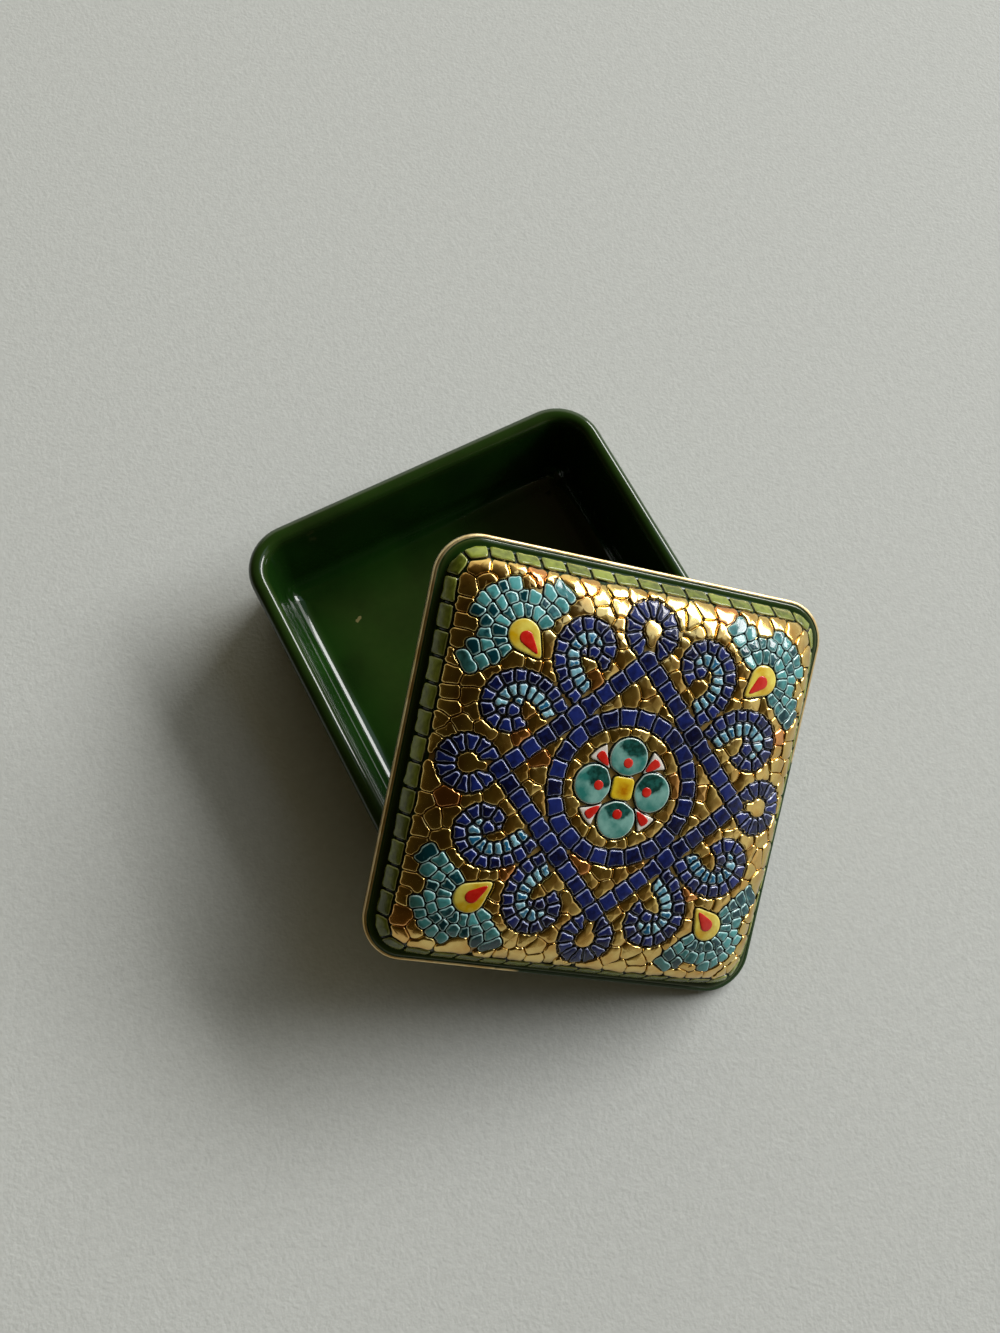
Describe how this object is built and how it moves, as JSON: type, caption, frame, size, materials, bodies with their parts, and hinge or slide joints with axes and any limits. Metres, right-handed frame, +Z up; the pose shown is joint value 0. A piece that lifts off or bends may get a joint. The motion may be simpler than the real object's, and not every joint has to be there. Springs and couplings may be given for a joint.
{
  "type": "trinket box",
  "caption": "Square glazed ceramic trinket box with a loose domed lid in raised mosaic work; the lid is off and leans on the box's rim.",
  "frame": {"origin": "centre of the box's flat underside, on the table", "axes": "+Z up; X and Y along the box's sides; the lid leans on the rim on the -Y side"},
  "size_m": [0.1312, 0.1537, 0.0694],
  "materials": {
    "green_glaze": "deep green gloss glaze",
    "gold_lustre": "metallic gold lustre, glossy",
    "olive_glaze": "olive gloss glaze",
    "lapis_glaze": "dark blue gloss glaze, pale at the edges",
    "aqua_glaze": "light blue gloss glaze",
    "turquoise_glaze": "turquoise gloss glaze",
    "yellow_glaze": "yellow gloss glaze",
    "teal_glaze": "mottled teal gloss glaze",
    "white_glaze": "white gloss glaze",
    "amber_glaze": "amber gloss glaze",
    "red_enamel": "red gloss enamel"
  },
  "bodies": {
    "box": {"box_dish": "green_glaze"},
    "lid": {"lid_shell": "green_glaze", "lid_gilt_edge": "gold_lustre", "border_tesserae": "olive_glaze", "ground_tesserae": "gold_lustre", "strap_tesserae": "lapis_glaze", "loop_tesserae": "lapis_glaze", "ring_tesserae": "lapis_glaze", "scroll_outer_tesserae": "lapis_glaze", "scroll_inner_tesserae": "aqua_glaze", "palmette_tesserae": "turquoise_glaze", "corner_drops": "yellow_glaze", "rosette_petals": "teal_glaze", "rosette_gores": "white_glaze", "rosette_button": "amber_glaze", "enamel_marks": "red_enamel"}
  },
  "joints": [
    {"name": "lid_lift", "type": "slide", "parent": "box", "child": "lid", "axis": [0, 0, 1], "range_m": [0, 0.07]}
  ]
}
